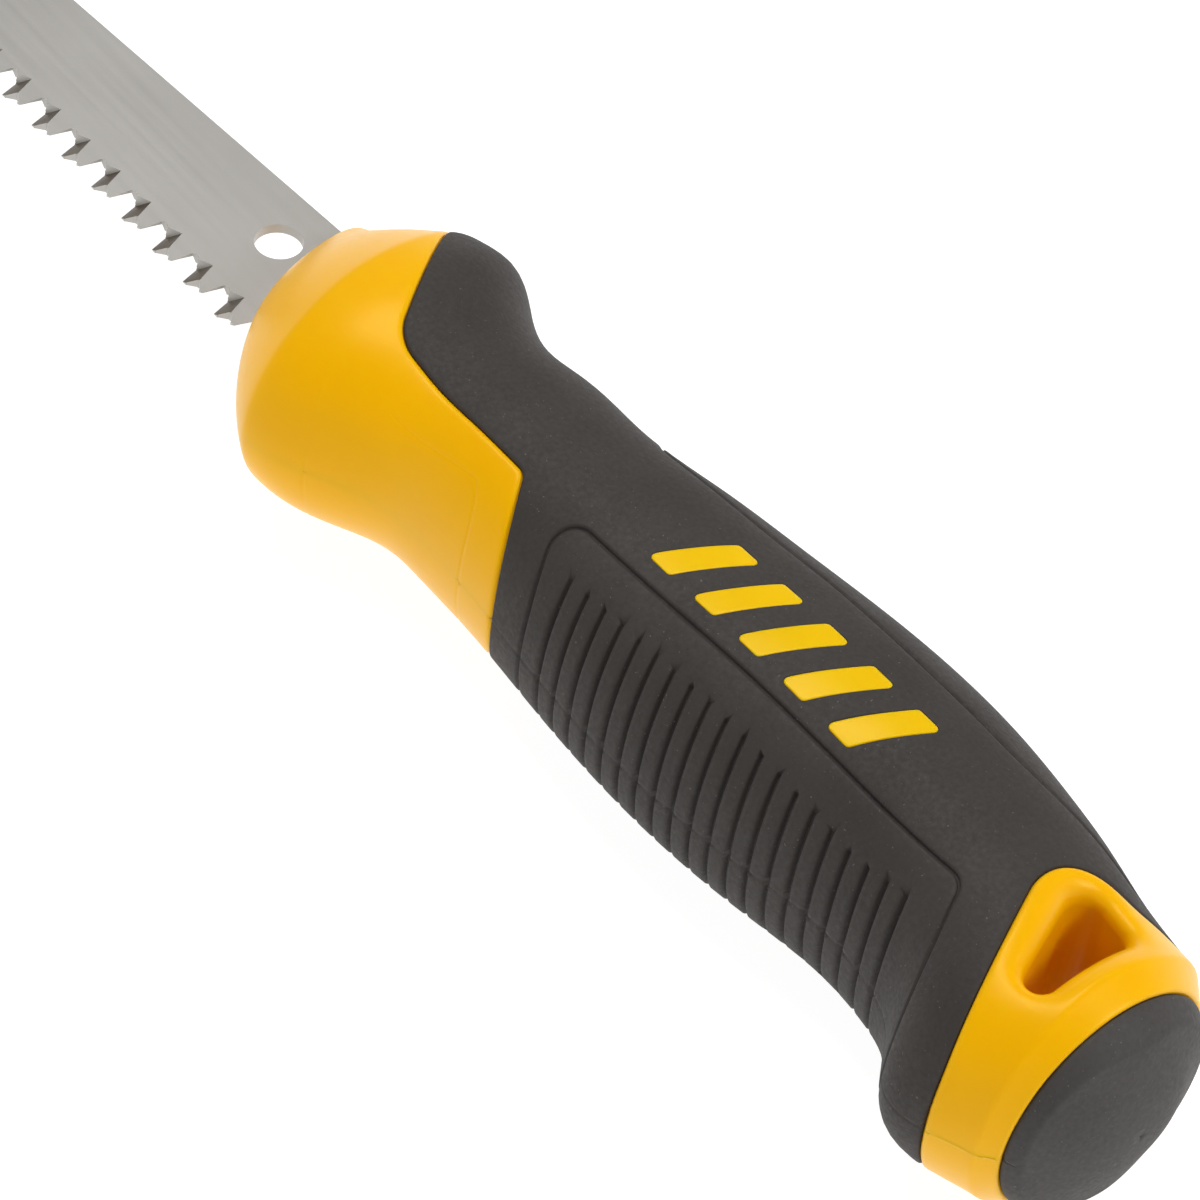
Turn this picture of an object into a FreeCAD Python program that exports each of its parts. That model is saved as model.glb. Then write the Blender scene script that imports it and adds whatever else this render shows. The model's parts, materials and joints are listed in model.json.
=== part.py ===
"""Drywall (jab) saw with a fixed blade: blade, two-part core, soft grip, butt cap and inlays.

Modelling frame: X runs along the tooth line towards the butt, Y from the teeth to the spine, Z square to
the blade, with the origin at the centre of the blade's hole. Every sub-part then gets the same Placement,
which lays the saw on its side with the origin under the middle of its box.
"""
import FreeCAD
import Part
import Sketcher
from FreeCAD import Placement, Rotation, Vector

import math
import os

DOC = FreeCAD.newDocument("jab_saw")

# name, value in millimetres (or a count), note
SIZES = (
    ("blade_thick", 1.6, "strip thickness"),
    ("blade_reach", 146.0, "hole centre to blade tip"),
    ("tip_drop", 11.5, "hole centre down to the blade's point"),
    ("tip_slope", 14.0, "length over which the spine is cut down to the point"),
    ("tip_land", 2.1, "tip to the start of the tooth line"),
    ("tooth_line", 14.5, "hole centre down to the tooth tips"),
    ("spine_rise", 8.1, "hole centre up to the spine"),
    ("spine_taper", 0.074, "rise of the spine per millimetre towards the handle"),
    ("hole_radius", 3.4, "round hole in the blade"),
    ("pair_pitch", 7.26, "two teeth, seven per inch"),
    ("pair_count", 21, "pairs of teeth"),
    ("pair_wide", 4.5, "from the first tooth of a pair to its second"),
    ("last_tooth", 5.4, "hole centre to the first tooth of the pair next to the nose"),
    ("heel", 0.5, "run of the slope behind the last tooth"),
    ("shoulder", 15.0, "hole centre to the shoulders of the tang"),
    ("shoulder_drop", 12.4, "lower edge behind the teeth, below the hole centre"),
    ("shoulder_run", 4.0, "length over which the shoulders narrow to the tang"),
    ("tang_end", 86.0, "hole centre to the end of the tang"),
    ("tang_half", 7.0, "half the tang's width"),
    ("tang_drop", 2.0, "tang centre line below the hole centre"),
    ("tang_corner", 2.0, "corners cut off the end of the tang"),
    ("pin_radius", 2.0, "tang pins"),
    ("pin_reach", 11.0, "half the length of a tang pin"),
    ("pin_chamfer", 0.4, "chamfer at each end of a pin"),
    ("pin_front", 36.0, "hole centre to the front pin"),
    ("pin_rear", 74.0, "hole centre to the rear pin"),
    ("skin", 2.4, "thickness of the soft sleeve"),
    ("groove_deep", 0.7, "depth of the sleeve's grooves"),
    ("groove_wide", 0.8, "width of the border grooves"),
    ("rib_count", 20, "grooves across the finger panel"),
    ("rib_wide", 0.9, "width of a finger groove"),
    ("cap_plane", 170.0, "joint between core and butt cap"),
    ("spigot_deep", 4.0, "length of the cap's spigot"),
    ("spigot_half", 5.0, "half the spigot's thickness"),
    ("spigot_wide", 14.0, "width of the spigot"),
    ("spigot_corner", 2.0, "rounding of the spigot's long edges"),
    ("spigot_low", -10.0, "lower side of the spigot, from the hole centre"),
    ("flare_wide", 4.0, "how far the hang hole's rim spreads"),
    ("flare_start", 15.5, "blade's mid-plane to where the rim starts to spread"),
    ("flare_end", 21.0, "blade's mid-plane to the end of the flare's cutter"),
    ("bar_count", 5, "slanted bars in each inlay"),
    ("bar_pitch", 8.6, "from one bar to the next"),
    ("bar_wide", 4.4, "width of a bar along the handle"),
    ("bar_half", 5.4, "half the height of a bar"),
    ("bar_corner", 0.7, "rounding of a bar's corners"),
    ("bar_lean", 2.6, "how far each end of a bar leans from its middle"),
    ("bar_middle_x", 105.0, "hole centre along to the middle bar"),
    ("bar_middle_y", 1.0, "hole centre up to the bars' middle"),
    ("badge_edge", 0.8, "plate of the inlay beyond and behind its bars"),
    ("rest_height", 19.4, "blade's mid-plane above the table"),
    ("middle_x", 15.5, "hole centre to the middle of the whole length"),
    ("middle_y", -0.9, "hole centre to the middle of the whole height"),
)

# spine x, spine y, belly x, belly y, half thickness, squareness (2 is an ellipse)
SECTIONS = (
    (4.6, 9.6, 4.8, 5.2, 2.0, 2.0),
    (7.0, 11.6, 7.7, -5.5, 6.0, 2.0),
    (12.2, 14.4, 13.2, -15.0, 10.9, 2.05),
    (20.0, 18.7, 26.6, -24.2, 17.2, 2.1),
    (26.8, 20.4, 33.6, -23.0, 18.7, 2.2),
    (35.0, 16.8, 41.4, -18.9, 17.8, 2.2),
    (42.6, 14.4, 47.0, -17.0, 16.9, 2.2),
    (51.0, 15.0, 52.8, -16.4, 17.2, 2.3),
    (62.0, 15.4, 62.0, -16.5, 17.3, 2.3),
    (76.0, 18.1, 76.0, -17.7, 17.3, 2.3),
    (90.0, 20.3, 90.0, -18.5, 17.8, 2.3),
    (104.0, 21.8, 104.0, -17.9, 18.9, 2.3),
    (118.0, 22.6, 118.0, -15.9, 19.3, 2.3),
    (130.0, 22.0, 130.0, -13.8, 19.4, 2.3),
    (140.0, 20.8, 140.0, -14.2, 19.1, 2.3),
    (149.0, 19.4, 148.1, -17.1, 19.0, 2.25),
    (157.0, 18.2, 154.2, -22.8, 18.9, 2.1),
    (165.0, 16.7, 161.5, -22.9, 18.7, 2.05),
    (170.2, 13.2, 169.2, -18.2, 17.1, 2.05),
    (175.2, 6.8, 174.6, -11.9, 10.8, 2.0),
    (177.0, 0.9, 176.8, -4.6, 2.5, 2.0),
)
FIRST_GRIP_SECTION = 2
LAST_GRIP_SECTION = 19
SECTION_POINTS = 16
# half the size of a cutter that must reach past the handle
REACH = 40.0


def make_sheet():
    """Fill the spreadsheet that holds the driving sizes."""
    sheet = DOC.addObject("Spreadsheet::Sheet", "sizes")
    for row, (name, value, note) in enumerate(SIZES, start=1):
        sheet.set(f"A{row}", note)
        sheet.set(f"B{row}", str(value))
        sheet.setAlias(f"B{row}", name)
    DOC.recompute()
    return sheet


SHEET = make_sheet()


def size(name):
    """Read one driving size."""
    return float(getattr(SHEET, name))


def base_placement():
    """Lay the saw on its side, its origin under the middle of its box."""
    move = Vector(-size("middle_x"), -size("middle_y"), size("rest_height"))
    return Placement(move, Rotation())


# ---------------------------------------------------------------- handle solids


def section_points(row, inset):
    """Points round one cross-section: a superellipse between a spine point and a belly point."""
    spine_x, spine_y, belly_x, belly_y, half, square = row
    spine = Vector(spine_x, spine_y, 0)
    belly = Vector(belly_x, belly_y, 0)
    middle = (spine + belly) * 0.5
    arm = (spine - belly) * 0.5
    arm = arm * ((arm.Length - inset) / arm.Length)
    points = []
    for i in range(SECTION_POINTS):
        angle = 2 * math.pi * (i + 0.5) / SECTION_POINTS - math.pi / 2
        up = math.copysign(abs(math.cos(angle)) ** (2 / square), math.cos(angle))
        side = math.copysign(abs(math.sin(angle)) ** (2 / square), math.sin(angle))
        points.append(middle + arm * up + Vector(0, 0, (half - inset) * side))
    return points


def section_curve(row, inset):
    """The smooth closed curve through one section's points, with evenly spaced knots."""
    curve = Part.BSplineCurve()
    knots = [i / SECTION_POINTS for i in range(SECTION_POINTS + 1)]
    curve.interpolate(Points=section_points(row, inset), Parameters=knots, PeriodicFlag=True)
    curve.setNotPeriodic()
    return curve


def chord_knots(rows_of_poles):
    """Places of the sections along the handle, by the mean distance between their poles."""
    sums = [0.0]
    for near, far in zip(rows_of_poles, rows_of_poles[1:]):
        step = sum((p - q).Length for p, q in zip(near, far)) / len(near)
        sums.append(sums[-1] + step)
    return [value / sums[-1] for value in sums]


def envelope(inset=0.0):
    """The handle's outer form, or the same form a little smaller for the inside of the sleeve."""
    rows = SECTIONS if inset == 0 else SECTIONS[FIRST_GRIP_SECTION:LAST_GRIP_SECTION]
    rings = [section_curve(row, inset) for row in rows]
    ring_poles = [ring.getPoles() for ring in rings]
    places = chord_knots(ring_poles)
    grid = []
    for number in range(len(ring_poles[0])):
        line = Part.BSplineCurve()
        line.interpolate(Points=[poles[number] for poles in ring_poles], Parameters=places)
        grid.append(line.getPoles())
    surface = Part.BSplineSurface()
    surface.buildFromPolesMultsKnots(
        grid, rings[0].getMultiplicities(), line.getMultiplicities(),
        rings[0].getKnots(), line.getKnots(), False, False, 3, 3,
    )
    ends = [Part.Face(Part.Wire([surface.vIso(v).toShape()])) for v in (0.0, 1.0)]
    shell = Part.makeShell([surface.toShape()] + ends)
    shell.sewShape()
    solid = Part.makeSolid(shell)
    if solid.Volume < 0:
        solid.reverse()
    return solid


def arc_corner(before, corner, after, radius):
    """Tangent points and middle of the arc that rounds one corner of an outline."""
    one = (before - corner).normalize()
    two = (after - corner).normalize()
    half = one.getAngle(two) / 2
    run = radius / math.tan(half)
    bisector = (one + two).normalize()
    centre = corner + bisector * (radius / math.sin(half))
    return corner + one * run, centre - bisector * radius, corner + two * run


def outline_wire(points, level=0.0):
    """Closed outline from (x, y, corner radius) points, as lines and tangent arcs."""
    corners = [Vector(x, y, level) for x, y, _ in points]
    edges = []
    starts = []
    for i, (_, _, radius) in enumerate(points):
        before = corners[i - 1]
        after = corners[(i + 1) % len(corners)]
        if radius > 0:
            first, middle, last = arc_corner(before, corners[i], after, radius)
            edges.append(Part.Arc(first, middle, last).toShape())
            starts.append((first, last))
        else:
            edges.append(None)
            starts.append((corners[i], corners[i]))
    loop = []
    for i, edge in enumerate(edges):
        if edge:
            loop.append(edge)
        begin = starts[i][1]
        end = starts[(i + 1) % len(starts)][0]
        if (end - begin).Length > 1e-6:
            loop.append(Part.makeLine(begin, end))
    return Part.Wire(Part.__sortEdges__(loop))


def side_prism(points, reach=REACH):
    """A solid with the given side-view outline, right through the handle."""
    face = Part.Face(outline_wire(points, -reach))
    return face.extrude(Vector(0, 0, 2 * reach))


# side-view outlines: x, y, corner radius
SLEEVE_OUTLINE = (
    (19.0, 34.0, 0),
    (20.0, 13.0, 6.0),
    (36.0, -8.2, 6.5),
    (62.6, -8.0, 2.2),
    (71.0, -18.5, 0),
    (74.0, -34.0, 0),
    (164.5, -34.0, 0),
    (161.5, -22.0, 20.0),
    (146.6, 8.4, 8.0),
    (158.5, 11.6, 10.0),
    (168.0, 16.5, 0),
    (169.0, 34.0, 0),
)
HANG_HOLE = (
    (152.0, 7.6, 3.0),
    (162.2, 6.9, 2.2),
    (163.2, -17.0, 2.0),
)
PANEL_OUTLINE = (
    (70.2, -7.7, 3.0),
    (144.9, -5.6, 3.0),
    (153.3, -22.6, 0),
    (160.0, -40.0, 0),
    (84.0, -40.0, 0),
    (77.0, -18.0, 0),
)
SPINE_PAD_OUTLINE = (
    (60.0, 40.0, 0),
    (66.0, 11.0, 4.0),
    (98.0, 12.8, 60.0),
    (134.0, 12.4, 60.0),
    (158.0, 15.6, 4.0),
    (162.0, 40.0, 0),
)
FIRST_RIB = (78.7, -12.8)
LAST_RIB = (140.8, -10.4)
RIB_LEAN = 0.42
RIB_RUN = 30.0
RIB_ROUND = 0.8


def shifted(points, step):
    """The same outline grown outwards by a step (inwards when it is negative)."""
    wire = outline_wire(points, -REACH)
    return wire.makeOffset2D(step, 0, False, False, True)


def ring_prism(points, wide):
    """A groove cutter that follows an outline, half its width each side of it."""
    outer = Part.Face(shifted(points, wide / 2)).extrude(Vector(0, 0, 2 * REACH))
    inner = Part.Face(shifted(points, -wide / 2)).extrude(Vector(0, 0, 2 * REACH))
    return outer.cut(inner)


def rib_prism(number):
    """Cutter for one finger groove: a leaning strip with a round upper end."""
    share = number / (size("rib_count") - 1)
    top_x = FIRST_RIB[0] + (LAST_RIB[0] - FIRST_RIB[0]) * share
    top_y = FIRST_RIB[1] + (LAST_RIB[1] - FIRST_RIB[1]) * share
    half = size("rib_wide") / 2
    foot_x = top_x + RIB_RUN * RIB_LEAN
    points = (
        (top_x - half, top_y, half * RIB_ROUND),
        (top_x + half, top_y, half * RIB_ROUND),
        (foot_x + half, top_y - RIB_RUN, 0),
        (foot_x - half, top_y - RIB_RUN, 0),
    )
    return side_prism(points)


def bar_prism(number):
    """One slanted bar of the inlay, on the +Z side only."""
    count = size("bar_count")
    middle = size("bar_middle_x") + (number - (count - 1) / 2) * size("bar_pitch")
    half_x = size("bar_wide") / 2
    lean = size("bar_lean")
    corner = size("bar_corner")
    low = size("bar_middle_y") - size("bar_half")
    high = size("bar_middle_y") + size("bar_half")
    points = (
        (middle - lean - half_x, low, corner),
        (middle - lean + half_x, low, corner),
        (middle + lean + half_x, high, corner),
        (middle + lean - half_x, high, corner),
    )
    face = Part.Face(outline_wire(points, 2.0))
    return face.extrude(Vector(0, 0, REACH))


def mirrored(shape):
    """The same shape on the other side of the blade."""
    return shape.mirror(Vector(0, 0, 0), Vector(0, 0, 1))


def space_before(plane):
    """A box that holds everything from the nose up to a plane square to the handle."""
    return Part.makeBox(plane + REACH, 2 * REACH, 2 * REACH, Vector(-REACH, -REACH, -REACH))


def half_space(side):
    """A box that holds everything on one side of the blade's mid-plane."""
    low = 0.0 if side > 0 else -REACH
    return Part.makeBox(SECTIONS[-1][0] + 2 * REACH, 2 * REACH, REACH, Vector(-REACH, -REACH, low))


# ---------------------------------------------------------------- sketch helpers


def origin_plane(body, role):
    """One of a body's own origin planes."""
    for item in body.Origin.OriginFeatures:
        if item.Role == role:
            return item
    raise RuntimeError(f"{body.Label} has no {role}")


def new_sketch(body, name, level=None):
    """A sketch on the body's XY plane, raised by an expression when a level is given."""
    sketch = body.newObject("Sketcher::SketchObject", name)
    sketch.AttachmentSupport = [(origin_plane(body, "XY_Plane"), "")]
    sketch.MapMode = "FlatFace"
    if level:
        sketch.setExpression("AttachmentOffset.Base.z", level)
    return sketch


def bound_outline(sketch, corners):
    """Closed outline whose corners are tied to the sheet: each corner is a pair of expressions."""
    count = len(corners)
    values = [(sheet_value(x), sheet_value(y)) for x, y in corners]
    for i, (x, y) in enumerate(values):
        next_x, next_y = values[(i + 1) % count]
        sketch.addGeometry(Part.LineSegment(Vector(x, y, 0), Vector(next_x, next_y, 0)), False)
    for i in range(count):
        sketch.addConstraint(Sketcher.Constraint("Coincident", i, 2, (i + 1) % count, 1))
    for i, ((x, y), (x_text, y_text)) in enumerate(zip(values, corners)):
        for kind, value, text in (("DistanceX", x, x_text), ("DistanceY", y, y_text)):
            index = sketch.addConstraint(Sketcher.Constraint(kind, -1, 1, i, 1, value))
            sketch.setExpression(f"Constraints[{index}]", text)


def sheet_value(text):
    """Value of an expression in sheet names, such as "-sizes.tooth_line + 2"."""
    return float(SHEET.evalExpression(text))


def new_body(label):
    """A PartDesign body whose label is the node's name."""
    body = DOC.addObject("PartDesign::Body", label)
    body.Label = label
    body.Placement = base_placement()
    return body


def pad_both_ways(body, sketch, name, length):
    """Pad a sketch by the same amount on both sides of its plane."""
    pad = body.newObject("PartDesign::Pad", name)
    pad.Profile = sketch
    pad.SideType = "Symmetric"
    pad.setExpression("Length", length)
    return pad


def cut_through(body, sketch, name):
    """Pocket a sketch right through the strip, both ways."""
    pocket = body.newObject("PartDesign::Pocket", name)
    pocket.Profile = sketch
    pocket.SideType = "Symmetric"
    pocket.setExpression("Length", "sizes.blade_thick * 4")
    return pocket


# ---------------------------------------------------------------- blade

# corners measured from the first tooth of a pair and from the tooth line
GULLET_FOOT = ((0.0, 0.0), (0.0, -1.0), (-2.76, -1.0), (-2.76, 0.0), (-2.5, 2.9))
GULLET_TOP = ((-2.5, 2.9), (-1.9, 3.7), (-1.1, 2.9))
NOTCH = ((0.8, -1.0), (0.8, 0.1), (1.9, 1.1), (2.6, 1.1), (3.7, 0.1), (3.7, -1.0))
BEVEL_OPEN = ((0.9, 4.3), (2.9, -0.3), (-1.8, -0.3), (-1.8, 3.1))
BEVEL_EDGE = ((-0.9, 2.9), (0.05, -0.3), (-1.8, -0.3), (-1.8, 2.6))


def tooth_sketch(body, name, level=None):
    """A sketch whose origin is the first tooth of the pair next to the nose."""
    sketch = new_sketch(body, name, level)
    sketch.setExpression("AttachmentOffset.Base.x", "sizes.last_tooth")
    sketch.setExpression("AttachmentOffset.Base.y", "-sizes.tooth_line")
    return sketch


def add_lines(sketch, points, closed=True):
    """Straight edges through the points, joined end to end."""
    pairs = list(zip(points, points[1:]))
    if closed:
        pairs.append((points[-1], points[0]))
    for (x_one, y_one), (x_two, y_two) in pairs:
        sketch.addGeometry(Part.LineSegment(Vector(x_one, y_one, 0), Vector(x_two, y_two, 0)), False)
    for i in range(len(pairs) - 1):
        sketch.addConstraint(Sketcher.Constraint("Coincident", i, 2, i + 1, 1))
    if closed:
        sketch.addConstraint(Sketcher.Constraint("Coincident", len(pairs) - 1, 2, 0, 1))


def mirror_in_pair(points):
    """The same corners seen from the second tooth of the pair."""
    return [(size("pair_wide") - x, y) for x, y in points]


def make_blade():
    """Strip steel blade: outline, hole, gullets, notches and the alternate ground facets."""
    body = new_body("blade")
    tip = "-sizes.blade_reach"
    slope_end = f"{tip} + sizes.tip_slope"
    spine = "sizes.spine_rise + sizes.spine_taper"
    tang_top = "sizes.tang_half - sizes.tang_drop"
    tang_low = "-sizes.tang_half - sizes.tang_drop"
    teeth_end = "sizes.last_tooth + sizes.pair_wide"
    outline = new_sketch(body, "blade_outline")
    bound_outline(outline, (
        (tip, "-sizes.tip_drop"),
        (slope_end, f"{spine} * ({slope_end})"),
        ("sizes.shoulder", f"{spine} * sizes.shoulder"),
        ("sizes.shoulder + sizes.shoulder_run", tang_top),
        ("sizes.tang_end - sizes.tang_corner", tang_top),
        ("sizes.tang_end", f"{tang_top} - sizes.tang_corner"),
        ("sizes.tang_end", f"{tang_low} + sizes.tang_corner"),
        ("sizes.tang_end - sizes.tang_corner", tang_low),
        ("sizes.shoulder + sizes.shoulder_run", tang_low),
        ("sizes.shoulder", "-sizes.shoulder_drop"),
        (f"{teeth_end} + sizes.heel", "-sizes.shoulder_drop"),
        (teeth_end, "-sizes.tooth_line"),
        (f"{tip} + sizes.tip_land", "-sizes.tooth_line"),
    ))
    pad_both_ways(body, outline, "blade_strip", "sizes.blade_thick")
    hole = new_sketch(body, "blade_hole_circle")
    hole.addGeometry(Part.Circle(Vector(0, 0, 0), Vector(0, 0, 1), size("hole_radius")), False)
    hole.addConstraint(Sketcher.Constraint("Coincident", 0, 3, -1, 1))
    ring = hole.addConstraint(Sketcher.Constraint("Radius", 0, size("hole_radius")))
    hole.setExpression(f"Constraints[{ring}]", "sizes.hole_radius")
    cut_through(body, hole, "blade_hole")

    gullet = tooth_sketch(body, "gullet_outline")
    add_lines(gullet, GULLET_FOOT, closed=False)
    arc = Part.Arc(*(Vector(x, y, 0) for x, y in GULLET_TOP))
    gullet.addGeometry(arc, False)
    flank = Part.LineSegment(Vector(*GULLET_TOP[2], 0), Vector(*GULLET_FOOT[0], 0))
    gullet.addGeometry(flank, False)
    gullets = cut_through(body, gullet, "gullet")
    notch = tooth_sketch(body, "notch_outline")
    add_lines(notch, NOTCH)
    notches = cut_through(body, notch, "notch")
    facets = [
        cut_facet(body, "near_facet", "sizes.blade_thick / 2 + 0.01", BEVEL_OPEN, BEVEL_EDGE),
        cut_facet(
            body, "far_facet", "-sizes.blade_thick / 2 - 0.01",
            mirror_in_pair(BEVEL_OPEN), mirror_in_pair(BEVEL_EDGE),
        ),
    ]
    DOC.recompute()
    pattern = body.newObject("PartDesign::LinearPattern", "tooth_pairs")
    pattern.Originals = [gullets, notches] + facets
    pattern.Direction = (origin_plane(body, "X_Axis"), [""])
    pattern.Reversed = True
    pattern.setExpression("Length", "sizes.pair_pitch * (sizes.pair_count - 1)")
    pattern.setExpression("Occurrences", "sizes.pair_count")
    body.Tip = pattern
    return body


def cut_facet(body, name, open_level, open_corners, edge_corners):
    """Ground facet: a wedge that is wide at one face of the strip and ends at the other face."""
    wide = tooth_sketch(body, f"{name}_open", open_level)
    add_lines(wide, open_corners)
    thin = tooth_sketch(body, f"{name}_edge", f"-({open_level})")
    add_lines(thin, edge_corners)
    loft = body.newObject("PartDesign::SubtractiveLoft", name)
    loft.Profile = wide
    loft.Sections = [thin]
    loft.Ruled = True
    return loft


def make_pin(label, place):
    """Plain steel pin square to the blade, with a small chamfer at each end."""
    body = new_body(label)
    sketch = new_sketch(body, f"{label}_circle")
    centre = Vector(size(place), -size("tang_drop"), 0)
    sketch.addGeometry(Part.Circle(centre, Vector(0, 0, 1), size("pin_radius")), False)
    ring = sketch.addConstraint(Sketcher.Constraint("Radius", 0, size("pin_radius")))
    sketch.setExpression(f"Constraints[{ring}]", "sizes.pin_radius")
    along = sketch.addConstraint(Sketcher.Constraint("DistanceX", -1, 1, 0, 3, centre.x))
    sketch.setExpression(f"Constraints[{along}]", f"sizes.{place}")
    across = sketch.addConstraint(Sketcher.Constraint("DistanceY", -1, 1, 0, 3, centre.y))
    sketch.setExpression(f"Constraints[{across}]", "-sizes.tang_drop")
    pad = pad_both_ways(body, sketch, f"{label}_rod", "sizes.pin_reach * 2")
    DOC.recompute()
    ends = [f"Edge{i + 1}" for i, edge in enumerate(pad.Shape.Edges) if edge.isClosed()]
    chamfer = body.newObject("PartDesign::Chamfer", f"{label}_ends")
    chamfer.Base = (pad, ends)
    chamfer.setExpression("Size", "sizes.pin_chamfer")
    body.Tip = chamfer
    return body


# ---------------------------------------------------------------- handle sub-parts


def add_feature(label, shape):
    """A document object that holds one finished sub-part."""
    feature = DOC.addObject("Part::Feature", label)
    feature.Label = label
    feature.Shape = shape
    feature.Placement = base_placement()
    return feature


def tang_cut():
    """Blade and pin holes as the core sees them, in the modelling frame."""
    undo = base_placement().inverse()
    parts = []
    for name in ("blade", "tang_pin_front", "tang_pin_rear"):
        shape = DOC.getObject(name).Shape.copy()
        shape.Placement = undo.multiply(shape.Placement)
        parts.append(shape)
    return parts


def hang_hole_cut():
    """Rounded three-sided hole right through the butt, with a flared rim on both sides."""
    straight = side_prism(HANG_HOLE)
    flares = []
    for sign in (1, -1):
        inner = outline_wire(HANG_HOLE, 0.0)
        outer = inner.makeOffset2D(size("flare_wide"), 0, False, False, True)
        inner.translate(Vector(0, 0, sign * size("flare_start")))
        outer.translate(Vector(0, 0, sign * size("flare_end")))
        flares.append(Part.makeLoft([inner, outer], True, True))
    return straight.multiFuse(flares)


def cap_spigot():
    """Flat peg that holds the butt cap in the core."""
    deep = size("spigot_deep")
    half = size("spigot_half")
    start = Vector(size("cap_plane") - deep, size("spigot_low"), -half)
    peg = Part.makeBox(deep + 1.0, size("spigot_wide"), 2 * half, start)
    along = [edge for edge in peg.Edges if abs(edge.tangentAt(edge.FirstParameter).x) > 0.9]
    return peg.makeFillet(size("spigot_corner"), along)


def make_handle():
    """Core halves, sleeve, inlays and butt cap, all cut from the same envelope."""
    outer = envelope()
    inner = envelope(size("skin"))
    backing = envelope(size("skin") - size("badge_edge"))
    floor = envelope(size("groove_deep"))
    sleeve_side = side_prism(SLEEVE_OUTLINE)
    front = space_before(size("cap_plane"))
    spigot = cap_spigot()

    cap = outer.cut(front).fuse(spigot).removeSplitter()
    add_feature("end_cap", cap)

    core = outer.common(front).cut(sleeve_side.cut(inner))
    core = core.cut(hang_hole_cut()).cut(spigot)
    for part in tang_cut():
        core = core.cut(part)
    add_feature("core_right_shell", core.common(half_space(1)))
    add_feature("core_left_shell", core.common(half_space(-1)))

    bars = [bar_prism(number) for number in range(int(size("bar_count")))]
    panel = side_prism(badge_outline()).common(half_space(1)).common(backing)
    window = panel.multiFuse(bars)
    windows = {"badge_right": window, "badge_left": mirrored(window)}

    sleeve = outer.common(sleeve_side).cut(inner)
    for label, opening in windows.items():
        sleeve = sleeve.cut(opening)
        add_feature(label, opening.common(outer).cut(inner))
    ribs = [rib_prism(number) for number in range(int(size("rib_count")))]
    rings = [ring_prism(outline, size("groove_wide")) for outline in (PANEL_OUTLINE, SPINE_PAD_OUTLINE)]
    grooves = rings[0].multiFuse(rings[1:] + ribs).cut(floor)
    add_feature("grip_sleeve", sleeve.cut(grooves))


def badge_outline():
    """Side-view outline of the thin plate behind an inlay's bars."""
    half = size("bar_count") * size("bar_pitch") / 2
    middle = size("bar_middle_x")
    lean = size("bar_lean")
    low = size("bar_middle_y") - size("bar_half") - size("badge_edge")
    high = size("bar_middle_y") + size("bar_half") + size("badge_edge")
    return (
        (middle - half - lean, low, 1.0),
        (middle + half - lean, low, 1.0),
        (middle + half + lean, high, 1.0),
        (middle - half + lean, high, 1.0),
    )


def check_and_export():
    """Stop if any object failed, then write each sub-part to its own file."""
    for item in DOC.Objects:
        if "Invalid" in item.State or "Error" in item.State:
            raise RuntimeError(f"{item.Label} failed: {item.State}")
    os.makedirs("parts", exist_ok=True)
    for label in NODES:
        item = DOC.getObjectsByLabel(label)[0]
        shape = item.Shape
        if shape.isNull() or not shape.isValid() or not shape.Solids:
            raise RuntimeError(f"{label} has no valid solid")
        shape.exportStep(os.path.join("parts", f"{label}.step"))
        box = shape.BoundBox
        print(label, len(shape.Solids), "solid(s)", round(shape.Volume / 1000, 2), "cm3", box)


NODES = (
    "blade", "tang_pin_front", "tang_pin_rear", "core_right_shell", "core_left_shell",
    "grip_sleeve", "badge_right", "badge_left", "end_cap",
)

make_blade()
make_pin("tang_pin_front", "pin_front")
make_pin("tang_pin_rear", "pin_rear")
DOC.recompute()
make_handle()
DOC.recompute()
check_and_export()
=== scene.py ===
"""Drywall jab saw lying on its side on a pale studio floor.

The blade and its pins are the CAD nodes. The moulded handle's pieces are rebuilt here as fine skins from
the same cross-sections and side-view outlines as the CAD model, with rolled edges, soft grooves, raised
creases and a flared hang hole. Handle shapes are worked out in millimetres in the CAD model's own working
frame (X from the blade's hole towards the butt, Y towards the spine, Z square to the blade) and then moved
to the row frame in metres.
"""
import json
import math

import bmesh
import bpy
import numpy as np
from mathutils import Matrix, Vector, kdtree
from mathutils.geometry import delaunay_2d_cdt


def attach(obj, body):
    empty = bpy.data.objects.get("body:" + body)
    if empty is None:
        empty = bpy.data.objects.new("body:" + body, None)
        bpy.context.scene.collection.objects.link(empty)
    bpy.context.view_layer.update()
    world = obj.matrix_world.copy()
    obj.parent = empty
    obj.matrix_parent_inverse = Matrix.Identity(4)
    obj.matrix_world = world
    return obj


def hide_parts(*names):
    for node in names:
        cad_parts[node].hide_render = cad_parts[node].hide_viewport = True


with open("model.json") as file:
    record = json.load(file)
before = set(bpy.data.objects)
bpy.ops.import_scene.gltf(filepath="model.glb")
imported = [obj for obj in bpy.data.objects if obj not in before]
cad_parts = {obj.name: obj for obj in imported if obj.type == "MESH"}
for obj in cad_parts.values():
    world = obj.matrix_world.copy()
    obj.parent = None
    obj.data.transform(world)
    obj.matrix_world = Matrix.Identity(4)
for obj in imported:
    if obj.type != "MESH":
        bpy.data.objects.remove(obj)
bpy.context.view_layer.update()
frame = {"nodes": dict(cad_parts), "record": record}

NODES = frame["nodes"]
MM = 0.001

# ---------------------------------------------------------------- handle form

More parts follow.
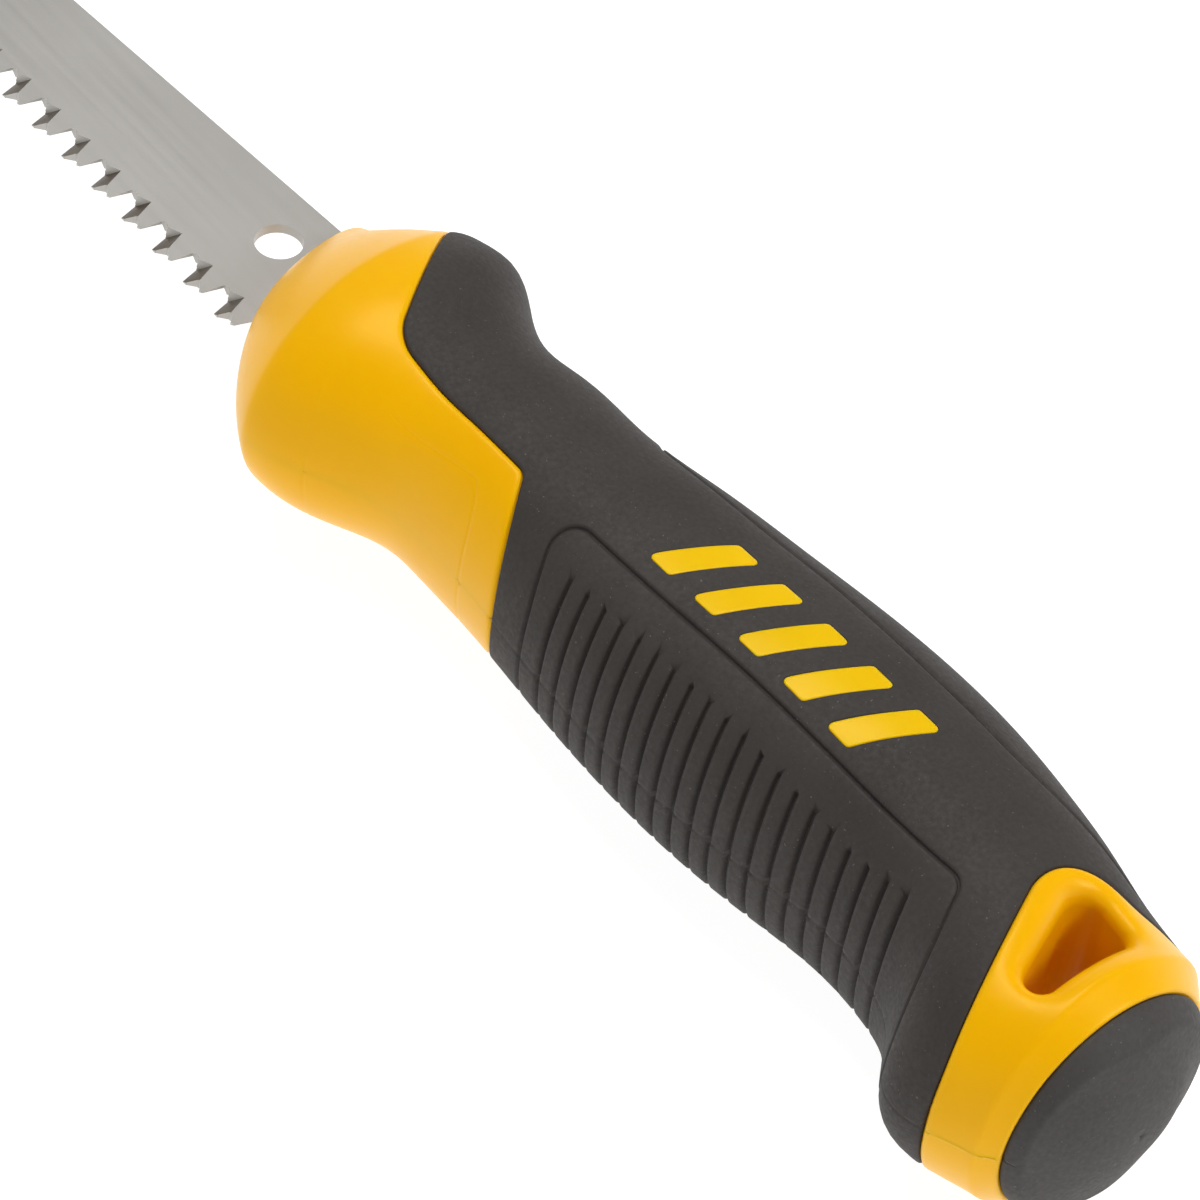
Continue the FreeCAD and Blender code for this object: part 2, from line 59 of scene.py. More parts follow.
# spine x, spine y, belly x, belly y, half thickness, squareness (2 is an ellipse), as in the CAD model,
# with an apex added at each end
SECTIONS = (
    (4.4, 7.6, 4.4, 7.2, 0.15, 2.0),
    (4.6, 9.6, 4.8, 5.2, 2.0, 2.0),
    (7.0, 11.6, 7.7, -5.5, 6.0, 2.0),
    (12.2, 14.4, 13.2, -15.0, 10.9, 2.05),
    (20.0, 18.7, 26.6, -24.2, 17.2, 2.1),
    (26.8, 20.4, 33.6, -23.0, 18.7, 2.2),
    (35.0, 16.8, 41.4, -18.9, 17.8, 2.2),
    (42.6, 14.4, 47.0, -17.0, 16.9, 2.2),
    (51.0, 15.0, 52.8, -16.4, 17.2, 2.3),
    (62.0, 15.4, 62.0, -16.5, 17.3, 2.3),
    (76.0, 18.1, 76.0, -17.7, 17.3, 2.3),
    (90.0, 20.3, 90.0, -18.5, 17.8, 2.3),
    (104.0, 21.8, 104.0, -17.9, 18.9, 2.3),
    (118.0, 22.6, 118.0, -15.9, 19.3, 2.3),
    (130.0, 22.0, 130.0, -13.8, 19.4, 2.3),
    (140.0, 20.8, 140.0, -14.2, 19.1, 2.3),
    (149.0, 19.4, 148.1, -17.1, 19.0, 2.25),
    (157.0, 18.2, 154.2, -22.8, 18.9, 2.1),
    (165.0, 16.7, 161.5, -22.9, 18.7, 2.05),
    (170.2, 13.2, 169.2, -18.2, 17.1, 2.05),
    (175.2, 6.8, 174.6, -11.9, 10.8, 2.0),
    (177.0, 0.9, 176.8, -4.6, 2.5, 2.0),
    (177.05, -1.7, 177.05, -1.9, 0.15, 2.0),
)
# side-view outlines: x, y, corner radius
SLEEVE_OUTLINE = (
    (19.0, 34.0, 0), (20.0, 13.0, 6.0), (36.0, -8.2, 6.5), (62.6, -8.0, 2.2), (71.0, -18.5, 0),
    (74.0, -34.0, 0), (164.5, -34.0, 0), (161.5, -22.0, 20.0), (146.6, 8.4, 8.0), (158.5, 11.6, 10.0),
    (168.0, 16.5, 0), (169.0, 34.0, 0),
)
HANG_HOLE = ((152.0, 7.6, 3.0), (162.2, 6.9, 2.2), (163.2, -17.0, 2.0))
PANEL_PATH = (
    (77.0, -40.0, 0), (77.0, -18.0, 6.0), (70.2, -7.7, 3.0), (144.9, -5.6, 3.0), (153.3, -22.6, 0),
    (160.0, -40.0, 0),
)
SPINE_PATH = (
    (58.0, 40.0, 0), (66.0, 11.0, 4.0), (98.0, 12.8, 60.0), (134.0, 12.4, 60.0), (158.0, 15.6, 4.0),
    (162.0, 40.0, 0),
)
CAP_PLANE = 170.0
FIRST_RIB = (78.7, -12.8)
LAST_RIB = (140.8, -10.4)
RIB_COUNT = 20
RIB_LEAN = 0.42
RIB_RUN = 22.0
BAR_COUNT = 5
BAR_PITCH = 8.6
BAR_WIDE = 4.4
BAR_HALF = 5.4
BAR_LEAN = 2.6
BAR_CORNER = 0.7
BAR_DEEP = 0.8
BAR_MIDDLE = (105.0, 1.0)
SKIN = 2.4

# grooves: half width and depth
RIB_GROOVE = (0.5, 0.85)
PANEL_GROOVE = (0.45, 0.6)
SPINE_GROOVE = (0.45, 0.75)
MOULD_GROOVE = (0.3, 0.06)
SEAM_GROOVE = (0.24, 0.08)
# on the yellow plastic the seam stands proud by this share of its depth
SEAM_RISE = 0.7
# the seam begins at SEAM_START and is at full depth SEAM_FADE further on
SEAM_START = 60.0
SEAM_FADE = 20.0
# raised creases: height, softness of the tip and reach
NOSE_RIDGE = (0.85, 0.5, 3.6)
REAR_RIDGE = (0.8, 0.2, 2.0)
FOLD_RIDGE = (1.3, 0.2, 2.6)
# radius of each rolled edge
YELLOW_AT_SLEEVE = 0.8
YELLOW_AT_CAP = 0.5
YELLOW_AT_HOLE = 2.4
BLACK_AT_SLEEVE = 0.5
BLACK_AT_BAR = 0.12
CAP_EDGE = 0.9
BAR_EDGE = 0.15
# slope and width of the dish round the hang hole
DISH_SLOPE = 0.22
DISH_WIDE = 3.2

# the unrolled half runs from girth 0 at the spine to GIRTH at the belly
GIRTH = 57.0

# the CAD model's working frame sits at the middle of the blade's hole
HOLE = frame["record"]["mounts"][0]["pos_m"]
MOVE = np.array(HOLE) / MM


def natural_spline(knots, values):
    """Second-derivative table of the natural cubic spline through the section table."""
    count = len(knots)
    step = np.diff(knots)
    matrix = np.eye(count)
    right = np.zeros_like(values)
    for i in range(1, count - 1):
        matrix[i, i - 1:i + 2] = (step[i - 1], 2 * (step[i - 1] + step[i]), step[i])
        slope_on = (values[i + 1] - values[i]) / step[i]
        slope_back = (values[i] - values[i - 1]) / step[i - 1]
        right[i] = 6 * (slope_on - slope_back)
    return np.linalg.solve(matrix, right)


def chord_places(table):
    """Distance of each section along the handle, from the mean move of its spine, belly and flank."""
    middle = (table[:, 0:2] + table[:, 2:4]) / 2
    flank = np.column_stack([middle, table[:, 4]])
    spine_step = np.linalg.norm(np.diff(table[:, 0:2], axis=0), axis=1)
    belly_step = np.linalg.norm(np.diff(table[:, 2:4], axis=0), axis=1)
    flank_step = np.linalg.norm(np.diff(flank, axis=0), axis=1)
    return np.concatenate([[0.0], np.cumsum((spine_step + belly_step + 2 * flank_step) / 4)])


TABLE = np.array(SECTIONS, float)
PLACES = chord_places(TABLE)
LENGTH = PLACES[-1]
CURVATURE = natural_spline(PLACES, TABLE)


def section_at(place):
    """The interpolated section row at each place along the handle."""
    place = np.clip(place, 0.0, LENGTH)
    cell = np.clip(np.searchsorted(PLACES, place) - 1, 0, len(PLACES) - 2)
    wide = (PLACES[cell + 1] - PLACES[cell])[..., None]
    low = (PLACES[cell + 1] - place)[..., None] / wide
    high = 1 - low
    bend = (low ** 3 - low) * CURVATURE[cell] + (high ** 3 - high) * CURVATURE[cell + 1]
    return low * TABLE[cell] + high * TABLE[cell + 1] + bend * wide ** 2 / 6


def surface(place, girth):
    """Point of the outer form: girth runs from 0 at the spine to GIRTH at the belly."""
    row = section_at(place)
    angle = girth / GIRTH * math.pi
    power = 2 / row[..., 5]
    up = np.sign(np.cos(angle)) * np.abs(np.cos(angle)) ** power
    side = np.sign(np.sin(angle)) * np.abs(np.sin(angle)) ** power
    middle = (row[..., 0:2] + row[..., 2:4]) / 2
    arm = (row[..., 0:2] - row[..., 2:4]) / 2
    flat = middle + arm * up[..., None]
    return np.concatenate([flat, (row[..., 4] * side)[..., None]], axis=-1)


def surface_frame(place, girth):
    """Derivatives along the handle and round it, and the outward normal."""
    step = 0.05
    near = np.clip(place - step, 0, LENGTH)
    far = np.clip(place + step, 0, LENGTH)
    along = (surface(far, girth) - surface(near, girth)) / (far - near)[..., None]
    around = (surface(place, girth + step) - surface(place, girth - step)) / (2 * step)
    normal = np.cross(around, along)
    size = np.linalg.norm(normal, axis=-1, keepdims=True)
    normal = normal / np.maximum(size, 1e-9)
    return along, around, normal


def unroll(flat):
    """Places and girths of side-view points; a point outside the outline lands on its edge."""
    flat = np.asarray(flat, float)
    low = np.zeros(len(flat))
    high = np.full(len(flat), LENGTH)
    for _ in range(40):
        middle = (low + high) / 2
        row = section_at(middle)
        chord = row[:, 0:2] - row[:, 2:4]
        away = flat - row[:, 2:4]
        ahead = chord[:, 0] * away[:, 1] - chord[:, 1] * away[:, 0] < 0
        low = np.where(ahead, middle, low)
        high = np.where(ahead, high, middle)
    place = (low + high) / 2
    row = section_at(place)
    middle = (row[:, 0:2] + row[:, 2:4]) / 2
    arm = (row[:, 0:2] - row[:, 2:4]) / 2
    up = np.sum((flat - middle) * arm, axis=1) / np.sum(arm * arm, axis=1)
    inside = np.abs(up) < 1
    up = np.clip(up, -1, 1)
    angle = np.arccos(np.sign(up) * np.abs(up) ** (row[:, 5] / 2))
    return np.column_stack([place, angle / math.pi * GIRTH]), inside


def rounded(points, closed, step=0.4):
    """Evenly sampled outline or path through corner points, each corner an arc of its own radius."""
    corners = [np.array(p[:2], float) for p in points]
    count = len(corners)
    line = []
    for i, corner in enumerate(corners):
        radius = points[i][2]
        if radius == 0 or (not closed and i in (0, count - 1)):
            line.append(corner)
            continue
        one = corners[i - 1] - corner
        two = corners[(i + 1) % count] - corner
        one /= np.linalg.norm(one)
        two /= np.linalg.norm(two)
        half = math.acos(float(np.clip(one @ two, -1, 1))) / 2
        bisector = (one + two) / np.linalg.norm(one + two)
        centre = corner + bisector * radius / math.sin(half)
        start = corner + one * radius / math.tan(half) - centre
        end = corner + two * radius / math.tan(half) - centre
        sweep = math.pi - 2 * half
        parts = max(3, int(radius * sweep / step))
        for k in range(parts + 1):
            share = k / parts
            mix = math.sin((1 - share) * sweep) * start + math.sin(share * sweep) * end
            line.append(centre + mix / math.sin(sweep))
    if closed:
        line.append(line[0])
    dense = [line[0]]
    for a, b in zip(line, line[1:]):
        parts = max(1, int(round(np.linalg.norm(b - a) / step)))
        dense += [a + (b - a) * (k + 1) / parts for k in range(parts)]
    return np.array(dense)


def inside_outline(flat, outline):
    """Even-odd test of side-view points against a sampled outline."""
    x, y = flat[:, 0], flat[:, 1]
    within = np.zeros(len(flat), bool)
    for (x_one, y_one), (x_two, y_two) in zip(outline[:-1], outline[1:]):
        if y_one == y_two:
            continue
        crosses = (y_one > y) != (y_two > y)
        within ^= crosses & (x < (x_two - x_one) * (y - y_one) / (y_two - y_one) + x_one)
    return within


def resampled(line, step):
    """The same run of places and girths with even spacing."""
    length = np.concatenate([[0.0], np.cumsum(np.linalg.norm(np.diff(line, axis=0), axis=1))])
    count = max(2, int(round(length[-1] / step)) + 1)
    marks = np.linspace(0, length[-1], count)
    return np.column_stack([np.interp(marks, length, line[:, 0]), np.interp(marks, length, line[:, 1])])


class Trace:
    """A side-view curve laid on the handle, with the distance of any point from it."""

    def __init__(self, points, closed, step=0.4):
        self.flat = rounded(points, closed, 0.2)
        domain, on = unroll(rounded(points, closed, 0.05))
        keep = on.copy()
        keep[:-1] |= on[1:]
        keep[1:] |= on[:-1]
        ends = np.flatnonzero(np.diff(np.concatenate([[False], keep, [False]])))
        runs = [domain[start:end] for start, end in zip(ends[::2], ends[1::2])]
        self.runs = [resampled(run, step) for run in runs]
        fine = np.concatenate([surface(*resampled(run, 0.05).T) for run in runs])
        self.tree = kdtree.KDTree(len(fine))
        for i, point in enumerate(fine):
            self.tree.insert(point, i)
        self.tree.balance()

    def distance(self, points):
        """Shortest way from each point to the curve, in millimetres."""
        return np.array([self.tree.find(point)[2] for point in points])

    def rows(self, offsets):
        """Lines beside the curve, as places and girths."""
        lines = []
        for run in self.runs:
            along, around, normal = surface_frame(*run.T)
            tangent = np.gradient(surface(*run.T), axis=0)
            tangent /= np.maximum(np.linalg.norm(tangent, axis=1, keepdims=True), 1e-9)
            across = np.cross(normal, tangent)
            a = np.sum(along * along, axis=1)
            b = np.sum(along * around, axis=1)
            c = np.sum(around * around, axis=1)
            p = np.sum(along * across, axis=1)
            q = np.sum(around * across, axis=1)
            size = np.maximum(a * c - b * b, 1e-9)
            move = np.column_stack([(c * p - b * q) / size, (a * q - b * p) / size])
            lines += [run + move * offset for offset in offsets]
        return lines


# ---------------------------------------------------------------- one unrolled half of the handle

def bar_outline(index):
    """One slanted inlay bar in side view."""
    x = BAR_MIDDLE[0] + (index - (BAR_COUNT - 1) / 2) * BAR_PITCH
    y = BAR_MIDDLE[1]
    half = BAR_WIDE / 2
    return (
        (x - half - BAR_LEAN, y - BAR_HALF, BAR_CORNER), (x + half - BAR_LEAN, y - BAR_HALF, BAR_CORNER),
        (x + half + BAR_LEAN, y + BAR_HALF, BAR_CORNER), (x - half + BAR_LEAN, y + BAR_HALF, BAR_CORNER),
    )


def rib_path(index):
    """One rib groove, from its top end down past the belly."""
    share = index / (RIB_COUNT - 1)
    x = FIRST_RIB[0] + (LAST_RIB[0] - FIRST_RIB[0]) * share
    y = FIRST_RIB[1] + (LAST_RIB[1] - FIRST_RIB[1]) * share
    return ((x, y, 0), (x + RIB_LEAN * RIB_RUN, y - RIB_RUN, 0))


# how far the rows of points beside each kind of line lie from it
EDGE_ROWS = (0.14, 0.32, 0.55, 0.85, 1.4)
GROOVE_ROWS = (0.0, 0.18, 0.38, 0.65)
RIB_ROWS = (0.0, 0.16, 0.34, 0.6, 1.05)
RIDGE_ROWS = (0.0, 0.4, 0.9, 1.6)
SEAM_ROWS = (0.0, 0.12, 0.28, 0.6)
HOLE_ROWS = (0.12, 0.3, 0.55, 0.9, 1.3, 1.8, 2.3, 2.7, 3.1)
BAR_ROWS = (0.12, 0.3)
NOSE_CREASE = ((19.0, 40.0, 0), (22.2, 9.0, 40.0), (23.2, -5.0, 40.0), (26.8, -24.0, 0), (27.0, -40.0, 0))
REAR_CREASE = (
    (165.0, 40.0, 0), (166.2, 8.0, 12.0), (165.9, -4.0, 20.0), (166.8, -12.0, 12.0), (169.0, -40.0, 0),
)
MOULD_LINES = (
    ((33.4, -18.4, 0), (35.9, -21.2, 3.0), (36.6, -30.0, 0)),
    ((43.0, -13.7, 0), (58.6, -12.0, 2.5), (62.6, -16.0, 8.0), (63.8, -30.0, 0)),
)
CAP_FOLD = (
    (171.0, -40.0, 0), (171.7, -14.0, 6.0), (173.4, -1.5, 14.0), (172.2, 8.8, 10.0), (168.5, 40.0, 0),
)

sleeve_trace = Trace(SLEEVE_OUTLINE, True)
hole_trace = Trace(HANG_HOLE, True, 0.35)
cap_trace = Trace(((CAP_PLANE, 30, 0), (CAP_PLANE, -30, 0)), False)
bar_traces = [Trace(bar_outline(i), True, 0.35) for i in range(BAR_COUNT)]
panel_trace = Trace(PANEL_PATH, False)
spine_trace = Trace(SPINE_PATH, False)
rib_traces = [Trace(rib_path(i), False, 0.5) for i in range(RIB_COUNT)]
mould_traces = [Trace(path, False, 0.5) for path in MOULD_LINES]
ridge_traces = [Trace(path, False, 0.8) for path in (NOSE_CREASE, REAR_CREASE, CAP_FOLD)]


class Sheet:
    """Points of the unrolled half, kept apart by a spatial hash, and the edges triangles must keep."""

    cell = 0.5

    def __init__(self):
        self.points = []
        self.edges = []
        self.cells = {}

    def cell_of(self, point):
        return int(point[0] / self.cell), int(point[1] / self.cell)

    def near(self, point, gap):
        reach = int(gap / self.cell) + 1
        column, row = self.cell_of(point)
        for i in range(column - reach, column + reach + 1):
            for j in range(row - reach, row + reach + 1):
                for k in self.cells.get((i, j), ()):
                    other = self.points[k]
                    if math.hypot(other[0] - point[0], other[1] - point[1]) < gap:
                        return k
        return None

    def put(self, point, gap):
        """Index of the point, or of one already within the gap."""
        found = self.near(point, gap)
        if found is not None:
            return found
        self.points.append((float(point[0]), float(point[1])))
        self.cells.setdefault(self.cell_of(point), []).append(len(self.points) - 1)
        return len(self.points) - 1

    def chain(self, line):
        """Points along a line that the triangles must not cross."""
        last = None
        for point in line:
            index = self.put(point, 0.02)
            if last is not None and index != last:
                self.edges.append((last, index))
            last = index

    def scatter(self, line, gap):
        """Points along a line, where they are on the half and not crowded."""
        for place, girth in line:
            if 0 <= place <= LENGTH and 0 <= girth <= GIRTH:
                self.put((place, girth), gap)


def both(rows):
    return [side * row for row in rows for side in (-1, 1)]


sheet = Sheet()
for trace in [sleeve_trace, hole_trace, cap_trace] + bar_traces:
    for run in trace.runs:
        sheet.chain(run)
for trace, rows, gap in (
    [(sleeve_trace, EDGE_ROWS, 0.12), (cap_trace, EDGE_ROWS, 0.12), (hole_trace, HOLE_ROWS, 0.12)]
    + [(trace, BAR_ROWS, 0.1) for trace in bar_traces]
    + [(trace, GROOVE_ROWS, 0.15) for trace in (panel_trace, spine_trace)]
    + [(trace, RIB_ROWS, 0.14) for trace in rib_traces]
    + [(trace, SEAM_ROWS, 0.12) for trace in mould_traces]
    + [(trace, RIDGE_ROWS, 0.3) for trace in ridge_traces]
):
    for line in trace.rows(both(rows)):
        sheet.scatter(line, gap)
for row in SEAM_ROWS:
    for girth in (row, GIRTH - row):
        sheet.scatter([(place, girth) for place in np.linspace(0, LENGTH, 300)], 0.1 if row else 0.3)
for place in np.linspace(0, LENGTH, 141):
    sheet.scatter([(place, girth) for girth in np.linspace(0, GIRTH, 43)[1:-1]], 0.62)

out = delaunay_2d_cdt([Vector(p) for p in sheet.points], sheet.edges, [], 0, 1e-5)
DOMAIN = np.array([tuple(p) for p in out[0]])
FACES = np.array([face for face in out[2]])
DOMAIN[:, 0] = np.clip(DOMAIN[:, 0], 0, LENGTH)
DOMAIN[:, 1] = np.clip(DOMAIN[:, 1], 0, GIRTH)
# a triangle with all its corners on one rim has no area
span = DOMAIN[FACES].max(axis=1) - DOMAIN[FACES].min(axis=1)
FACES = FACES[span.min(axis=1) > 1e-6]
FORM = surface(*DOMAIN.T)
NORMAL = surface_frame(*DOMAIN.T)[2]

# region of each triangle, from its middle in side view
centre = surface(*DOMAIN[FACES].mean(axis=1).T)[:, :2]
YELLOW, BLACK, CAP, BARS, HOLE_GAP = range(5)
region = np.full(len(FACES), YELLOW)
region[inside_outline(centre, sleeve_trace.flat)] = BLACK
region[centre[:, 0] > CAP_PLANE] = CAP
for trace in bar_traces:
    region[inside_outline(centre, trace.flat)] = BARS
region[inside_outline(centre, hole_trace.flat)] = HOLE_GAP


# ---------------------------------------------------------------- how deep each region's surface lies

def roll(distance, radius):
    """Depth of a quarter-round edge at a distance from it."""
    near = np.clip(radius - distance, 0, radius)
    return radius - np.sqrt(radius * radius - near * near)


def groove(distance, half, depth):
    """Depth of a soft-shouldered groove at a distance from its middle."""
    share = np.clip(distance / half, 0, 1)
    return depth * (1 - share ** 2) ** 2


def ridge(distance, height, tip, reach):
    """Height of a soft-tipped crease at a distance from its line."""
    return height * np.exp(-np.sqrt(distance ** 2 + tip ** 2) / reach)


def nearest(traces):
    return np.min([trace.distance(FORM) for trace in traces], axis=0)


sleeve_gap = sleeve_trace.distance(FORM)
cap_gap = cap_trace.distance(FORM)
bar_gap = nearest(bar_traces)
hole_gap = hole_trace.distance(FORM)
ribs = groove(nearest(rib_traces), *RIB_GROOVE)
mould = groove(nearest(mould_traces), *MOULD_GROOVE)
rings = groove(panel_trace.distance(FORM), *PANEL_GROOVE)
pad = groove(spine_trace.distance(FORM), *SPINE_GROOVE)
seam = groove(np.minimum(DOMAIN[:, 1], GIRTH - DOMAIN[:, 1]), *SEAM_GROOVE)
seam *= np.clip((FORM[:, 0] - SEAM_START) / SEAM_FADE, 0, 1)
nose_gap, rear_gap, fold_gap = [trace.distance(FORM) for trace in ridge_traces]
raised = ridge(nose_gap, *NOSE_RIDGE) + ridge(rear_gap, *REAR_RIDGE) + ridge(fold_gap, *FOLD_RIDGE)
FORM = FORM + NORMAL * raised[:, None]

# each end of the sheet closes on one point of the joint plane
for end, row, way in ((0.0, TABLE[0], -1.0), (LENGTH, TABLE[-1], 1.0)):
    at_end = DOMAIN[:, 0] == end
    FORM[at_end] = ((row[0] + row[2]) / 2, (row[1] + row[3]) / 2, 0.0)
    NORMAL[at_end] = (way, 0.0, 0.0)
# the rims lie on the joint plane
on_rim = (DOMAIN[:, 1] == 0) | (DOMAIN[:, 1] == GIRTH)
FORM[on_rim, 2] = 0.0
NORMAL[on_rim, 2] = 0.0

yellow_edges = [roll(sleeve_gap, YELLOW_AT_SLEEVE), roll(cap_gap, YELLOW_AT_CAP)]
yellow_depth = np.maximum.reduce(yellow_edges + [mould]) - SEAM_RISE * seam
black_edges = [roll(sleeve_gap, BLACK_AT_SLEEVE), roll(bar_gap, BLACK_AT_BAR)]
black_depth = np.maximum.reduce(black_edges + [ribs, rings, pad, seam])
cap_depth = roll(cap_gap, CAP_EDGE)
bar_depth = roll(bar_gap, BAR_EDGE)

YELLOW_FORM = FORM - NORMAL * yellow_depth[:, None]
YELLOW_FORM[:, 2] -= roll(hole_gap, YELLOW_AT_HOLE) + DISH_SLOPE * np.clip(DISH_WIDE - hole_gap, 0, None)
BLACK_FORM = FORM - NORMAL * black_depth[:, None]
CAP_FORM = FORM - NORMAL * cap_depth[:, None]
BAR_FORM = FORM - NORMAL * bar_depth[:, None]
BAR_BED = FORM - NORMAL * BAR_DEEP
SLEEVE_BED = FORM - NORMAL * SKIN


def flat_back(form):
    """The half's flat joint face behind a form."""
    return form * np.array((1.0, 1.0, 0.0))


# ---------------------------------------------------------------- pieces from the sheet

def build(name, levels, backs, both_sides, flip=False, steps=(1.0,)):
    """A closed piece: outer levels by region, backs by region, walls where levels meet or end."""
    verts = []
    faces = []
    index = {}

    def vertex(kind, number, point):
        key = (kind, number)
        if key not in index:
            index[key] = len(verts)
            verts.append(point)
        return index[key]

    def outer(part, number):
        return vertex(("o", part), number, levels[part][number])

    def inner(part, number):
        return vertex(("i", part), number, backs[part][number])

    def wall(part, number, step):
        share = steps[step]
        if share == 1.0:
            return inner(part, number)
        point = levels[part][number] * (1 - share) + backs[part][number] * share
        return vertex(("w", part, step), number, point)

    sides = {}
    for face, part in zip(FACES.tolist(), region.tolist()):
        if part not in levels:
            continue
        a, b, c = face
        faces.append((outer(part, a), outer(part, c), outer(part, b)))
        faces.append((inner(part, a), inner(part, b), inner(part, c)))
        for one, two in ((a, b), (b, c), (c, a)):
            sides.setdefault((min(one, two), max(one, two)), []).append((part, one, two))
    for (one, two), users in sides.items():
        if len(users) == 2:
            (part, a, b), (other, _, _) = users
            if part != other:
                faces.append((outer(part, a), outer(part, b), outer(other, b), outer(other, a)))
                faces.append((inner(part, b), inner(part, a), inner(other, a), inner(other, b)))
            continue
        part, a, b = users[0]
        rim = DOMAIN[one, 1] == DOMAIN[two, 1] and DOMAIN[one, 1] in (0.0, GIRTH)
        end = DOMAIN[one, 0] == DOMAIN[two, 0] and DOMAIN[one, 0] in (0.0, LENGTH)
        # a rim lies on the joint plane and an end is one point, so neither has a wall
        if end or rim:
            continue
        row = [outer(part, a), outer(part, b)]
        for step in range(len(steps)):
            below = [wall(part, a, step), wall(part, b, step)]
            faces.append((row[0], row[1], below[1], below[0]))
            row = below
    points = (np.array(verts) + MOVE) * MM
    if flip:
        points[:, 2] = 2 * MOVE[2] * MM - points[:, 2]
        faces = [face[::-1] for face in faces]
    mesh = bpy.data.meshes.new(name)
    mesh.from_pydata(points.tolist(), [], faces)
    work = bmesh.new()
    work.from_mesh(mesh)
    if both_sides:
        twin = bmesh.ops.duplicate(work, geom=work.verts[:] + work.edges[:] + work.faces[:])
        twin_verts = [item for item in twin["geom"] if isinstance(item, bmesh.types.BMVert)]
        twin_faces = [item for item in twin["geom"] if isinstance(item, bmesh.types.BMFace)]
        for vert in twin_verts:
            vert.co.z = 2 * MOVE[2] * MM - vert.co.z
        bmesh.ops.reverse_faces(work, faces=twin_faces)
    bmesh.ops.remove_doubles(work, verts=work.verts[:], dist=2e-6)
    bmesh.ops.recalc_face_normals(work, faces=work.faces[:])
    if work.calc_volume(signed=True) < 0:
        bmesh.ops.reverse_faces(work, faces=work.faces[:])
    for face in work.faces:
        face.smooth = True
    work.to_mesh(mesh)
    work.free()
    if not both_sides:
        normals = []
        for vert in mesh.vertices:
            normal = vert.normal.copy()
            if abs(vert.co.z - MOVE[2] * MM) < 1e-6 and abs(normal.z) < 0.99:
                normal.z = 0.0
                normal.normalize()
            normals.append(normal)
        mesh.normals_split_custom_set_from_vertices(normals)
    piece = bpy.data.objects.new(name, mesh)
    bpy.context.scene.collection.objects.link(piece)
    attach(piece, "root")
    return piece


core_levels = {YELLOW: YELLOW_FORM, BLACK: SLEEVE_BED, CAP: SLEEVE_BED, BARS: SLEEVE_BED}
core_backs = {part: flat_back(form) for part, form in core_levels.items()}
WALL_STEPS = (0.03, 0.12, 0.4, 1.0)
core_right = build("core_right_skin", core_levels, core_backs, False, False, WALL_STEPS)
core_left = build("core_left_skin", core_levels, core_backs, False, True, WALL_STEPS)
grip_backs = {BLACK: SLEEVE_BED, BARS: SLEEVE_BED}
grip = build("grip_skin", {BLACK: BLACK_FORM, BARS: BAR_BED}, grip_backs, True)
cap = build("cap_skin", {CAP: CAP_FORM}, {CAP: SLEEVE_BED}, True)
badge_right = build("badge_right_skin", {BARS: BAR_FORM}, {BARS: BAR_BED}, False)
badge_left = build("badge_left_skin", {BARS: BAR_FORM}, {BARS: BAR_BED}, False, True)
for piece, node, slot in (
    (core_right, "core_right_shell", "core_plastic"), (core_left, "core_left_shell", "core_plastic"),
    (grip, "grip_sleeve", "grip_rubber"), (cap, "end_cap", "cap_rubber"),
    (badge_right, "badge_right", "inlay_plastic"), (badge_left, "badge_left", "inlay_plastic"),
):
    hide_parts(node)


# ---------------------------------------------------------------- materials

class Nodes:
    """A few short calls for building a material's node tree."""

    def __init__(self, name):
        self.material = bpy.data.materials.new(name)
        self.material.use_nodes = True
        self.tree = self.material.node_tree
        self.tree.nodes.clear()
        self.shader = self.add("ShaderNodeBsdfPrincipled")
        output = self.add("ShaderNodeOutputMaterial")
        self.link(self.shader.outputs["BSDF"], output.inputs["Surface"])
        self.place = self.add("ShaderNodeTexCoord").outputs["Object"]

    def add(self, kind, **settings):
        node = self.tree.nodes.new(kind)
        for key, value in settings.items():
            setattr(node, key, value)
        return node

    def link(self, source, target):
        self.tree.links.new(source, target)

    def set(self, **values):
        for key, value in values.items():
            self.shader.inputs[key.replace("_", " ")].default_value = value

    def noise(self, scale, detail=3.0, rough=0.5, stretch=(1, 1, 1)):
        mapping = self.add("ShaderNodeMapping")
        mapping.inputs["Scale"].default_value = stretch
        self.link(self.place, mapping.inputs["Vector"])
        node = self.add("ShaderNodeTexNoise")
        node.inputs["Scale"].default_value = scale
        node.inputs["Detail"].default_value = detail
        node.inputs["Roughness"].default_value = rough
        self.link(mapping.outputs["Vector"], node.inputs["Vector"])
        return node.outputs["Fac"]

    def ramp(self, source, stops):
        node = self.add("ShaderNodeValToRGB")
        ramp = node.color_ramp
        while len(ramp.elements) < len(stops):
            ramp.elements.new(0.5)
        for element, (place, colour) in zip(ramp.elements, stops):
            element.position = place
            element.color = (*colour, 1.0) if len(colour) == 3 else colour
        self.link(source, node.inputs["Fac"])
        return node.outputs["Color"]

    def grey(self, source, stops):
        return self.ramp(source, [(place, (value, value, value)) for place, value in stops])

    def mix(self, factor, one, two):
        node = self.add("ShaderNodeMix", data_type="RGBA")
        self.link(factor, node.inputs["Factor"])
        for source, socket in ((one, node.inputs["A"]), (two, node.inputs["B"])):
            if isinstance(source, tuple):
                socket.default_value = (*source, 1.0)
            else:
                self.link(source, socket)
        return node.outputs["Result"]

    def bump(self, source, distance, strength=1.0, under=None):
        node = self.add("ShaderNodeBump")
        node.inputs["Distance"].default_value = distance
        node.inputs["Strength"].default_value = strength
        self.link(source, node.inputs["Height"])
        if under is not None:
            self.link(under, node.inputs["Normal"])
        return node.outputs["Normal"]


